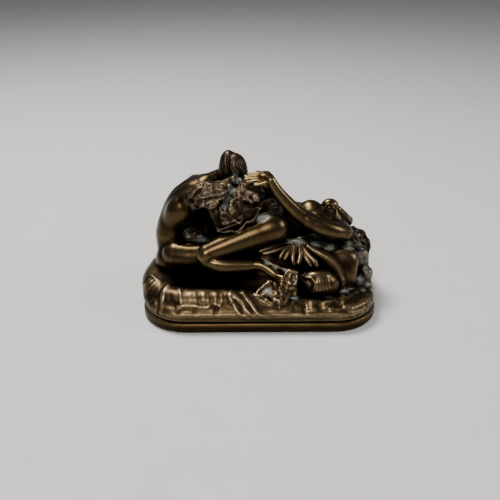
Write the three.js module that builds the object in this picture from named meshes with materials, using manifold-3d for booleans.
// Bronze statuette: a seated figure bowed over its lap and a kneeling figure arched back beside it,
// on a draped ground above a flat plinth. Every casting is its own solid, pinned or screwed on.
// Millimetres, +Z up, +X along the plinth to the right of the front, +Y to the back.
// The origin is the middle of the plinth's underside.

import * as THREE from 'three';
import { mergeVertices } from 'three/addons/utils/BufferGeometryUtils.js';
import Module from 'manifold-3d';

const wasm = await Module();
wasm.setup();

// ---------------------------------------------------------------- driving dimensions
const BASE_LENGTH = 120;
const BASE_DEPTH = 80;
const BASE_CORNER = 23;
const PLINTH_HEIGHT = 5.3;
const PLINTH_EDGE = 1.2;
const GROUND_INSET = 1.6;
const GROUND_HEIGHT = 7.5;
const GROUND_EDGE = 3.6;
const JOINT_GAP = 0.3;

const FELT_THICKNESS = 1.2;
const FELT_MARGIN = 5;

const SCREW_X = 38;
const SCREW_Y = 23;
const SCREW_LENGTH = 9;
const SCREW_RADIUS = 2;
const SCREW_HEAD_RADIUS = 3.8;
const SCREW_HEAD_HEIGHT = 2.2;
const DRIVE_SLOT_WIDTH = 1;
const DRIVE_SLOT_DEPTH = 0.8;

const STUD_RADIUS = 2;
const NUT_RADIUS = 4.2;
const NUT_HEIGHT = 3;
const NUT_RECESS = 3.6;
const PIN_RADIUS = 0.9;

const LIMB_SIDES = 8;
const TRUNK_SIDES = 10;
const ROUND_SIDES = 12;
const CAP_ROWS = 2;

// ---------------------------------------------------------------- materials
function finish(color, roughness, metalness) {
  return new THREE.MeshStandardMaterial({ color, roughness, metalness });
}

const bronze = finish(0x4a3620, 0.4, 0.95);
const flesh = finish(0x5d4527, 0.36, 0.95);
const cloth = finish(0x453a22, 0.48, 0.9);
const rock = finish(0x2f2618, 0.6, 0.85);
const felt = finish(0x23372b, 0.95, 0);
const steel = finish(0x8f9296, 0.35, 1);
const brass = finish(0xa88a4a, 0.35, 1);

// ---------------------------------------------------------------- solids
// A closed solid from any closed three.js geometry.
function solid(geometry) {
  const bare = geometry.clone();
  bare.deleteAttribute('normal');
  bare.deleteAttribute('uv');
  const welded = mergeVertices(bare, 1e-4);
  const vertProperties = new Float32Array(welded.attributes.position.array);
  const triVerts = new Uint32Array(welded.index.array);
  const mesh = new wasm.Mesh({ numProp: 3, vertProperties, triVerts });
  mesh.merge();
  return new wasm.Manifold(mesh);
}

function join(first, ...others) {
  return others.reduce((whole, other) => whole.add(other), first);
}

// The main body of a solid, without the loose slivers that a cut can leave.
function mainBody(whole) {
  const bodies = whole.decompose();
  return bodies.reduce((largest, body) => (body.volume() > largest.volume() ? body : largest));
}

function geometryOf(whole) {
  const { vertProperties, triVerts } = whole.getMesh();
  const geometry = new THREE.BufferGeometry();
  geometry.setAttribute('position', new THREE.BufferAttribute(vertProperties, 3));
  geometry.setIndex(new THREE.BufferAttribute(triVerts, 1));
  geometry.computeVertexNormals();
  return geometry;
}

// A round-ended limb through knots [x, y, z, radius]: a sphere whose rows are laid along a curve.
// stretch widens the section along the world axes, and grow adds clearance all round.
function limb(knots, grow, { stretch = [1, 1, 1], sides = LIMB_SIDES, steps = 1 } = {}) {
  const curve = new THREE.CatmullRomCurve3(knots.map(([x, y, z]) => new THREE.Vector3(x, y, z)));
  const bodyRows = (knots.length - 1) * steps;
  const rows = bodyRows + 2 * CAP_ROWS;
  const frames = curve.computeFrenetFrames(bodyRows, false);
  const radiusAt = (along) => {
    const place = curve.getUtoTmapping(along) * (knots.length - 1);
    const knot = Math.min(Math.floor(place), knots.length - 2);
    return THREE.MathUtils.lerp(knots[knot][3], knots[knot + 1][3], place - knot);
  };
  const geometry = new THREE.SphereGeometry(1, sides, rows);
  const { position, uv } = geometry.attributes;
  const offset = new THREE.Vector3();
  for (let i = 0; i < position.count; i += 1) {
    const row = Math.round((1 - uv.getY(i)) * rows);
    const turn = Math.atan2(position.getZ(i), position.getX(i));
    const bodyRow = THREE.MathUtils.clamp(row - CAP_ROWS, 0, bodyRows);
    const pastEnd = (row - CAP_ROWS - bodyRow) / CAP_ROWS;
    const radius = radiusAt(bodyRow / bodyRows);
    const swing = pastEnd * Math.PI / 2;
    const ring = Math.cos(swing);
    offset.set(0, 0, 0);
    if (Math.abs(pastEnd) < 1) {
      offset.addScaledVector(frames.normals[bodyRow], Math.cos(turn) * ring);
      offset.addScaledVector(frames.binormals[bodyRow], Math.sin(turn) * ring);
    }
    offset.addScaledVector(frames.tangents[bodyRow], Math.sin(swing));
    offset.set(
      offset.x * (radius * stretch[0] + grow),
      offset.y * (radius * stretch[1] + grow),
      offset.z * (radius * stretch[2] + grow),
    );
    offset.add(curve.getPointAt(bodyRow / bodyRows));
    position.setXYZ(i, offset.x, offset.y, offset.z);
  }
  return outward(geometry);
}

// The solid with its faces turned out, whichever way its rows ran.
function outward(geometry) {
  const whole = solid(geometry);
  if (whole.volume() > 0) return whole;
  const index = geometry.index.array;
  for (let i = 0; i < index.length; i += 3) {
    [index[i], index[i + 1]] = [index[i + 1], index[i]];
  }
  return solid(geometry);
}

// An ellipsoid with its middle at a point.
function ball([x, y, z], [rx, ry, rz], grow, sides = LIMB_SIDES) {
  const geometry = new THREE.SphereGeometry(1, sides, sides / 2 + 1);
  geometry.rotateX(Math.PI / 2);
  geometry.scale(rx + grow, ry + grow, rz + grow);
  geometry.translate(x, y, z);
  return solid(geometry);
}

// A round rod between two points.
function rod(from, to, radius, grow, sides = LIMB_SIDES) {
  const start = new THREE.Vector3(...from);
  const reach = new THREE.Vector3(...to).sub(start);
  const length = reach.length();
  const geometry = new THREE.CylinderGeometry(radius + grow, radius + grow, length + 2 * grow, sides);
  const up = new THREE.Vector3(0, 1, 0);
  geometry.applyQuaternion(new THREE.Quaternion().setFromUnitVectors(up, reach.clone().normalize()));
  const middle = start.addScaledVector(reach, 0.5);
  geometry.translate(middle.x, middle.y, middle.z);
  return solid(geometry);
}

// A turned piece that stands on z = bottom: profile points are [radius, height above the bottom].
function turned(profile, [x, y, bottom], sides = ROUND_SIDES) {
  const geometry = new THREE.LatheGeometry(profile.map(([r, h]) => new THREE.Vector2(r, h)), sides);
  geometry.rotateX(Math.PI / 2);
  geometry.translate(x, y, bottom);
  return outward(geometry);
}

// A flat plate in the plinth's plan, inset from it all round, with softened edges.
function plate(inset, bottom, height, edge, grow) {
  const halfLength = BASE_LENGTH / 2 - inset + grow;
  const halfDepth = BASE_DEPTH / 2 - inset + grow;
  const corner = BASE_CORNER - inset + grow;
  const shape = new THREE.Shape();
  shape.absarc(halfLength - corner, halfDepth - corner, corner, 0, Math.PI / 2);
  shape.absarc(corner - halfLength, halfDepth - corner, corner, Math.PI / 2, Math.PI);
  shape.absarc(corner - halfLength, corner - halfDepth, corner, Math.PI, Math.PI * 1.5);
  shape.absarc(halfLength - corner, corner - halfDepth, corner, Math.PI * 1.5, Math.PI * 2);
  const geometry = new THREE.ExtrudeGeometry(shape, {
    depth: height + 2 * grow - 2 * edge,
    bevelEnabled: edge > 0,
    bevelThickness: edge,
    bevelSize: edge,
    bevelOffset: -edge,
    bevelSegments: 2,
    curveSegments: 3,
  });
  geometry.translate(0, 0, bottom - grow + edge);
  return outward(indexed(geometry));
}

function indexed(geometry) {
  const bare = geometry.clone();
  bare.deleteAttribute('normal');
  bare.deleteAttribute('uv');
  return mergeVertices(bare, 1e-4);
}

// ---------------------------------------------------------------- plinth and fixings
const GROUND_BOTTOM = PLINTH_HEIGHT + JOINT_GAP;
const FELT_RECESS = FELT_THICKNESS + JOINT_GAP;

// Thin pad glued in the plinth's underside, level with its rim.
function feltPad(grow) {
  return plate(FELT_MARGIN, 0, FELT_THICKNESS, 0, grow);
}

// Flat plate with softened edges; the pad and the screw heads sit in its underside.
function plinth(grow) {
  return plate(0, 0, PLINTH_HEIGHT, PLINTH_EDGE, grow);
}

// Countersunk screw, driven up through the plinth into the ground casting.
function fixingScrew([x, y]) {
  return (grow) => {
    const bottom = FELT_RECESS + JOINT_GAP;
    const whole = turned([
      [0, -grow],
      [SCREW_HEAD_RADIUS + grow, -grow],
      [SCREW_RADIUS + grow, SCREW_HEAD_HEIGHT + grow],
      [SCREW_RADIUS + grow, SCREW_LENGTH],
      [0, SCREW_LENGTH + 1 + grow],
    ], [x, y, bottom]);
    if (grow > 0) return join(whole, rod([x, y, 0], [x, y, bottom], SCREW_HEAD_RADIUS, grow, ROUND_SIDES));
    const slot = new THREE.BoxGeometry(3 * SCREW_HEAD_RADIUS, DRIVE_SLOT_WIDTH, 2 * DRIVE_SLOT_DEPTH);
    slot.translate(x, y, bottom);
    return whole.subtract(solid(slot));
  };
}

// Threaded stud from the recess under the ground up into a figure.
function stud([x, y, top]) {
  return (grow) => rod([x, y, GROUND_BOTTOM + JOINT_GAP], [x, y, top], STUD_RADIUS, grow);
}

// Hexagon nut on a stud, with its recess open to the ground's underside.
function nut([x, y]) {
  return (grow) => {
    const bottom = GROUND_BOTTOM + JOINT_GAP;
    const recess = grow > 0 ? NUT_RECESS - NUT_HEIGHT : 0;
    return rod([x, y, bottom - recess], [x, y, bottom + NUT_HEIGHT], NUT_RADIUS, grow, 6);
  };
}

function pin(from, to) {
  return (grow) => rod(from, to, PIN_RADIUS, grow, 6);
}

// ---------------------------------------------------------------- seated figure
const BODY_WIDTH = [1, 1.2, 1];

function seatedHead(grow) {
  const skull = ball([-14, 4, 70], [6.6, 6.2, 8], grow, TRUNK_SIDES);
  const crown = limb([[-15, 5, 73, 5], [-14.5, 5, 76, 3.4]], grow);
  const jaw = ball([-9.5, 2, 66], [4, 4, 4.5], grow);
  return join(skull, crown, jaw);
}

function seatedTorso(grow) {
  const back = limb([
    [-44, 5, 23.5, 10.2], [-46.4, 6, 35, 8.4], [-41.5, 7.5, 48, 8.4], [-30, 8.5, 57.6, 7],
  ], grow, { stretch: BODY_WIDTH, sides: TRUNK_SIDES });
  const chest = ball([-33, 9, 45], [7.5, 9, 9], grow, TRUNK_SIDES);
  const belly = ball([-35, 8, 33], [8, 9, 8], grow, TRUNK_SIDES);
  const neck = limb([[-29, 8, 59, 5.2], [-18, 6, 65, 4.2]], grow);
  return join(back, chest, belly, neck);
}

// Long hair falls from the bowed head over the lap in two wings, with a curled fringe below.
function seatedHair(grow) {
  const backWing = join(
    limb([[-13, -2.8, 65.6, 3.2], [-24, -5, 62.6, 4.2], [-33, -7.6, 59, 3]], grow),
    limb([[-15, -6, 61.4, 3.6], [-25, -7.8, 59.6, 3.6], [-32.6, -9.6, 57.6, 2.4]], grow),
  );
  const frontWing = join(
    limb([[-12, -3.2, 66, 3.4], [-3, -5.2, 62.8, 3.8], [0.4, -7, 60, 3]], grow),
    limb([[-12, -6.6, 60, 3.6], [-3.4, -8.8, 57.6, 3.2], [0, -10, 56.6, 2.2]], grow),
  );
  const middle = limb([[-14.4, -4, 66, 3.6], [-14.4, -8, 57, 5], [-14.2, -12.4, 51, 5.4]], grow);
  const curls = limb([
    [-19, -15.6, 48, 3], [-14, -14, 50, 4.6], [-6.4, -12.4, 52, 4.4], [0, -12.6, 55, 2.4],
  ], grow);
  return join(backWing, frontWing, middle, curls);
}

function seatedNearArm(grow) {
  return limb([
    [-35, -2, 56, 4.6], [-28, -4.4, 57, 4.2], [-22.6, -8, 55.2, 3.9], [-21, -10.4, 51, 3.7],
    [-18.6, -13, 46.6, 3],
  ], grow);
}

// The far arm reaches round the other figure's waist.
function seatedFarArm(grow) {
  return limb([
    [-33, 18, 56, 5], [-24, 20, 55.4, 4.9], [-14, 18.5, 55, 4.7], [-5, 14, 55.2, 4.5], [4, 9.5, 55.2, 4.3],
    [10, 8, 52.4, 3.4], [15, 6, 50, 2.4],
  ], grow);
}

function seatedNearLeg(grow) {
  return limb([[-41, -5, 25.5, 7.4], [-28, -7, 27, 6.2], [-10, -6, 29, 5]], grow);
}

function seatedFarLeg(grow) {
  const thigh = limb([[-40, 14, 25, 7.8], [-26, 20, 32, 6.8], [-11, 25, 36, 5.4]], grow);
  const shin = limb([[-10, 25, 34, 4.8], [-7, 27, 25, 4.4], [-5, 28, 15.5, 3.2]], grow);
  const foot = limb([[-5, 28.5, 14.5, 3], [3, 29.5, 13.5, 2.6], [7, 30, 13, 2.2]], grow);
  return join(thigh, shin, foot);
}

// ---------------------------------------------------------------- kneeling figure
function kneelingNearLeg(grow) {
  const thigh = limb([
    [5, -11, 43, 8], [-10, -15, 39, 6.9], [-26, -19, 34.5, 5.2],
  ], grow, { sides: TRUNK_SIDES });
  const calf = limb([[-26.5, -20, 31.5, 4.6], [-17, -21, 28.5, 4.2], [-1, -21, 28.5, 2.9]], grow);
  const foot = limb([[0, -21, 29, 2.8], [5, -23.5, 26.5, 3.2], [10.5, -26, 22.5, 2.7]], grow);
  return join(thigh, calf, foot);
}

function kneelingFarLeg(grow) {
  const thigh = limb([[10, 6, 37, 7.6], [-2, 12, 29, 6.6], [-12, 14, 21, 5.2]], grow);
  const calf = limb([[-12, 15, 18.5, 4.6], [2, 17, 17.5, 4.6], [16, 17, 16.5, 3.2]], grow);
  const foot = limb([[17, 17, 16.5, 3], [24, 18, 15, 2.4]], grow);
  return join(thigh, calf, foot);
}

function kneelingTorso(grow) {
  const trunk = limb([
    [8, -2, 40, 8.2], [20, 0, 40, 6.6], [31, 1, 42, 7.4], [40, 1, 38.5, 6.4],
  ], grow, { stretch: BODY_WIDTH, sides: TRUNK_SIDES });
  const farHip = ball([8, 7, 43.6], [9.4, 8.4, 9.4], grow, TRUNK_SIDES);
  const waist = ball([18, 7, 42.6], [9, 7.4, 7.4], grow);
  const farBreast = ball([27.2, 5.2, 46.6], [6, 5.6, 5.2], grow);
  const nearBreast = ball([29.4, -3.4, 44.6], [4.8, 4.4, 4.4], grow);
  const neck = limb([[41, 1, 38, 4.6], [47, 1.5, 34, 4]], grow);
  return join(trunk, farHip, waist, farBreast, nearBreast, neck);
}

function kneelingHead(grow) {
  const skull = ball([51, 3, 30.5], [6.6, 6.4, 7.4], grow, TRUNK_SIDES);
  const hair = limb([[54, 5, 30, 4.5], [55, 2, 24, 4.4], [55, -3, 19, 3.4]], grow);
  const nearLock = limb([[47, -4.4, 37, 2.4], [51, -4.6, 31, 2.8], [51.6, -5.4, 24, 2.6]], grow);
  return join(skull, hair, nearLock);
}

// The near arm reaches back over the shoulder and lays its hand on the bowed head.
function raisedArm(grow) {
  const arm = limb([
    [43, -7, 39, 4.4], [38, -9.4, 41, 4.7], [31.4, -10.3, 43.8, 4.7], [24.2, -9.8, 47.4, 4.2],
    [17.4, -9, 52.6, 3.7], [9.8, -7.8, 61, 3], [5.4, -6.8, 67.6, 2.4],
  ], grow);
  const hand = limb([[5.4, -6.4, 68, 2.4], [-1, -5.6, 69.6, 2.6], [-6.6, -5.4, 69.2, 1.9]], grow);
  return join(arm, hand);
}

// The far arm bends up, and its fist holds a knot of cloth.
function farArm(grow) {
  const upper = limb([[38.6, 10, 40.4, 4.4], [44, 10.6, 39.4, 3.8], [47.4, 8, 39, 3]], grow);
  const forearm = limb([[47.2, 6.5, 39.4, 2.7], [44.6, 4.6, 43.2, 2.5], [40.6, 3.4, 47.4, 2.2]], grow);
  const fist = ball([36.8, 3.2, 49.4], [4.7, 3.6, 4.2], grow);
  const knot = limb([[33, 2, 47, 2.6], [38, 1, 44.6, 2.8], [42.6, 0.6, 41.8, 2.2]], grow);
  return join(upper, forearm, fist, knot);
}

// ---------------------------------------------------------------- drapery and ground
// Broad turned-over fold that falls from the hip to the ground at the right front.
function draperyFold(grow) {
  const crest = limb([
    [24, -15.4, 35.6, 1.8], [32, -16.6, 31, 3.2], [38.6, -18.4, 25.6, 4], [41.6, -21.2, 17.6, 3],
  ], grow, { sides: TRUNK_SIDES });
  const upperSide = ball([44.4, -16.2, 26.4], [6.6, 4.8, 6.8], grow);
  const lowerSide = ball([45, -17.4, 20.6], [4.8, 4.6, 6.8], grow);
  const lining = limb([[26, -10, 30, 6], [40, -9, 28, 6.5], [48, -9, 19, 6]], grow);
  return join(crest, upperSide, lowerSide, lining);
}

// Pleats that spread from a ledge of cloth under the arm, each from its root to its tip.
const PLEATS = [
  [[12.6, -14.4, 36.4], [1, -17.4, 33.4]],
  [[15.2, -15.4, 36], [10.4, -19.2, 31]],
  [[17.8, -15.6, 36], [16.8, -21, 28.6]],
  [[20, -15.6, 36], [19.6, -20.6, 29.2]],
  [[21.6, -15.8, 35.6], [28, -21.4, 28]],
];

function pleatFan(grow) {
  const pleats = PLEATS.map(([root, tip]) => limb([[...root, 1.6], [...tip, 1.4]], grow, { sides: 5 }));
  const ledge = limb([
    [13.4, -12.4, 36.6, 1.8], [25, -13, 35.8, 2.2], [38, -12.8, 32.6, 2.2], [47, -12.6, 32.2, 1.8],
  ], grow);
  const web = limb([[10, -14, 32.6, 3], [18, -16, 31, 4], [26, -15.6, 30, 4]], grow);
  return join(web, ledge, ...pleats);
}

// The rolled end of the bolster, with its round end to the front.
function bolster(grow) {
  const end = ball([28.6, -24.2, 19], [9.4, 6.2, 7.2], grow, ROUND_SIDES);
  const roll = limb([[31, -22, 18.4, 6.2], [36, -18, 18, 6.6], [41, -11, 16, 6.4]], grow);
  const tuck = limb([[15, -20.6, 20, 3.6], [21, -20.8, 19.6, 4.2], [28, -20.4, 20, 4.6]], grow);
  return join(end, roll, tuck);
}

// Square cloth corner that hangs over the front edge of the ground, below a strip past the toes.
function clothCorner(grow) {
  const upper = limb([[-1, -31.2, 17, 1.8], [4.6, -30.6, 17.6, 2.8], [10, -30.4, 18, 3.2]], grow);
  const lower = limb([[4.6, -27.8, 21, 2.8], [6.8, -30.8, 16.8, 3.2], [8.8, -33.6, 13.4, 2.4]], grow);
  const strip = limb([[14.8, -25.8, 25, 2.8], [15, -27.8, 21.6, 3.2], [13, -31.4, 16.4, 3]], grow);
  return join(upper, lower, strip);
}

function rockBank(grow) {
  const crest = limb([
    [34, 24, 15, 7.6], [45, 21.5, 18, 8.2], [51, 12, 18, 7.4], [53, 0, 15, 6.4], [53.4, -9, 12.4, 5.8],
    [52, -17, 9.6, 4.4],
  ], grow);
  const lump = ball([52.6, -7.4, 24], [4.4, 3.8, 7.2], grow);
  return join(crest, lump, limb([[30, 10, 24, 8], [42, 6, 25, 7.5]], grow));
}

// Heaped drapery behind the seated figure, that fills the space under its raised far knee.
function backDrapery(grow) {
  const heap = limb([[-52, 10, 12, 6.2], [-47, 22, 13, 8], [-34, 30, 13, 7.4], [-18, 33, 12, 5.6]], grow);
  const rise = limb([[-34, 22, 18, 7], [-23, 25, 20, 7.4], [-13, 27, 20, 6.4]], grow);
  return join(heap, rise);
}

// Cushion-like ground: a slab with a full roll along the left and the left front.
function ground(grow) {
  const slab = plate(GROUND_INSET, GROUND_BOTTOM, GROUND_HEIGHT, GROUND_EDGE, grow);
  const frontRoll = limb([
    [-47, -22, 11.6, 6], [-34, -28, 12, 6], [-16, -30, 12, 6], [4, -30, 10.6, 5.6], [22, -30, 9.6, 4.4],
  ], grow);
  const leftRoll = limb([[-48, -21, 11.6, 6], [-52, -7, 12.2, 7.6], [-51.4, 7, 12, 6.6]], grow);
  const seat = limb([[-40, -2, 10, 8], [-20, -10, 11, 8.5], [0, -12, 12, 8], [20, -8, 13, 9]], grow);
  const rest = limb([[8, 0, 14, 11], [22, 2, 20, 10.5], [36, 2, 18, 9]], grow, { sides: TRUNK_SIDES });
  const back = limb([[-14, 14, 10, 7], [4, 22, 9, 5.4], [20, 24, 9, 5.4]], grow);
  const block = join(slab, frontRoll, leftRoll, seat, rest, back);
  const below = new THREE.BoxGeometry(2 * BASE_LENGTH, 2 * BASE_DEPTH, 2 * GROUND_BOTTOM);
  below.translate(0, 0, -grow);
  return block.subtract(solid(below));
}

// ---------------------------------------------------------------- assembly
const SCREW_PLACES = [[-SCREW_X, -SCREW_Y], [SCREW_X, -SCREW_Y], [SCREW_X, SCREW_Y], [-SCREW_X, SCREW_Y]];
const SEATED_STUD = [-40, 4, 26];
const KNEELING_STUD = [14, -1, 38];

// In seating order: each piece is cut back from the grown forms of all the pieces before it.
const pieces = [
  ...SCREW_PLACES.map((place, i) => [`fixing_screw_${i + 1}`, fixingScrew(place), steel]),
  ['seated_figure_stud', stud(SEATED_STUD), brass],
  ['kneeling_figure_stud', stud(KNEELING_STUD), brass],
  ['seated_figure_nut', nut(SEATED_STUD), brass],
  ['kneeling_figure_nut', nut(KNEELING_STUD), brass],
  ['seated_neck_pin', pin([-22, 6.5, 62.5], [-14.5, 5, 68]), brass],
  ['seated_hair_pin', pin([-15, 2, 69], [-15.5, -5, 64]), brass],
  ['seated_near_arm_pin', pin([-40, 3, 53], [-33.5, -2, 56.5]), brass],
  ['seated_far_arm_pin', pin([-37, 12, 53], [-30, 18, 54]), brass],
  ['raised_arm_pin', pin([34, -1, 42], [37, -8, 43]), brass],
  ['far_arm_pin', pin([34, 5, 41], [41, 11, 39]), brass],
  ['kneeling_neck_pin', pin([42, 1.5, 37], [50, 2.5, 31.5]), brass],
  ['near_leg_pin', pin([9, -3, 41], [3, -11, 42]), brass],
  ['felt_pad', feltPad, felt],
  ['plinth', plinth, bronze],
  ['raised_arm', raisedArm, flesh],
  ['kneeling_near_leg', kneelingNearLeg, flesh],
  ['seated_near_arm', seatedNearArm, flesh],
  ['seated_hair', seatedHair, bronze],
  ['seated_head', seatedHead, bronze],
  ['far_arm', farArm, flesh],
  ['kneeling_torso', kneelingTorso, flesh],
  ['kneeling_head', kneelingHead, rock],
  ['kneeling_far_leg', kneelingFarLeg, flesh],
  ['seated_torso', seatedTorso, flesh],
  ['seated_far_arm', seatedFarArm, flesh],
  ['seated_near_leg', seatedNearLeg, flesh],
  ['seated_far_leg', seatedFarLeg, flesh],
  ['pleat_fan', pleatFan, cloth],
  ['drapery_fold', draperyFold, cloth],
  ['bolster', bolster, cloth],
  ['cloth_corner', clothCorner, cloth],
  ['rock_bank', rockBank, rock],
  ['back_drapery', backDrapery, cloth],
  ['ground', ground, bronze],
];

function boxesMeet(a, b) {
  const [first, second] = [a.boundingBox(), b.boundingBox()];
  return [0, 1, 2].every((axis) => first.min[axis] < second.max[axis] && second.min[axis] < first.max[axis]);
}

const statuette = new THREE.Group();
const earlierForms = [];
for (const [name, form, material] of pieces) {
  const neighbours = earlierForms.filter((earlier) => boxesMeet(form(0), earlier));
  const seated = neighbours.reduce((rest, earlier) => rest.subtract(earlier), form(0));
  const mesh = new THREE.Mesh(geometryOf(mainBody(seated)), material);
  mesh.name = name;
  statuette.add(mesh);
  earlierForms.push(form(JOINT_GAP));
}

export default statuette;
